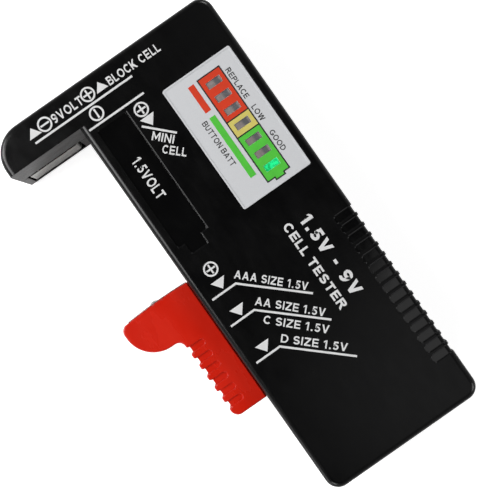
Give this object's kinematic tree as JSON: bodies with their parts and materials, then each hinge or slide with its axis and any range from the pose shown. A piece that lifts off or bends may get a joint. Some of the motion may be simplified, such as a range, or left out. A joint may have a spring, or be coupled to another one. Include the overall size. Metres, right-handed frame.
{
  "type": "battery tester",
  "caption": "L-shaped hand-held dry-cell tester with a contact arm, a sprung sliding contact block, snap contacts on its end and a coloured light-bar charge scale.",
  "frame": {"origin": "centre of the bottom of the overall box, on the rear face that the tester lies on", "axes": "+Z out of the printed front face, +Y along the body towards the end with the contact arm, +X to the right seen from the front"},
  "size_m": [0.06, 0.11, 0.025],
  "materials": {
    "body_plastic": "fine moulded satin texture",
    "slider_plastic": "semi-gloss moulded",
    "label_silver": "silver-grey printed satin film",
    "window_clear": "smoky translucent",
    "window_lit": "translucent, lit from below",
    "led_package": "clear resin on white base",
    "led_lit": "lit resin on white base",
    "nickel": "nickel-plated sheet, lightly brushed",
    "spring_steel": "drawn wire",
    "screw_steel": "zinc-plated",
    "baffle_white": "moulded white",
    "board_green": "solder mask over glass-fibre laminate",
    "chip_black": "moulded epoxy",
    "capacitor_can": "drawn can",
    "resistor_ceramic": "printed ceramic chip",
    "wire_red": "PVC insulation",
    "wire_black": "PVC insulation",
    "print_white": "screen-printed ink",
    "print_black": "screen-printed ink",
    "print_red": "screen-printed ink",
    "print_yellow": "screen-printed ink",
    "print_green": "screen-printed ink"
  },
  "bodies": {
    "housing": {"arm_contact_strip": "nickel", "board_screws": "screw_steel", "boost_chip": "chip_black", "capacitor": "capacitor_can", "circuit_board": "board_green", "comparator_chip": "chip_black", "front_shell": "body_plastic", "housing_screws": "screw_steel", "indicator_label": "label_silver", "inductor": "chip_black", "led_1": "led_package", "led_2": "led_package", "led_3": "led_package", "led_4": "led_package", "led_5": "led_package", "led_6": "led_package", "led_7": "led_lit", "light_baffle": "baffle_white", "nine_volt_negative_contact": "nickel", "nine_volt_positive_contact": "nickel", "rear_shell": "body_plastic", "resistor_1": "resistor_ceramic", "resistor_2": "resistor_ceramic", "resistor_3": "resistor_ceramic", "resistor_4": "resistor_ceramic", "resistor_5": "resistor_ceramic", "resistor_6": "resistor_ceramic", "resistor_7": "resistor_ceramic", "return_spring": "spring_steel", "small_cell_contact": "nickel", "spring_anchor_pin": "spring_steel", "window_1": "window_clear", "window_2": "window_clear", "window_3": "window_clear", "window_4": "window_clear", "window_5": "window_clear", "window_6": "window_clear", "window_7": "window_lit", "wire_arm_contact": "wire_black", "wire_nine_volt_negative": "wire_black", "wire_nine_volt_positive": "wire_red", "wire_slider_spring": "wire_red", "wire_small_cell": "wire_red"},
    "slider_block": {"slider": "slider_plastic", "slider_contact": "nickel"}
  },
  "joints": [
    {"name": "slider_travel", "type": "slide", "parent": "housing", "child": "slider_block", "axis": [0, -1, 0], "range_m": [0, 0.024], "stiffness_N_per_m": 100, "springref_m": -0.015, "deforming": ["return_spring"]}
  ]
}
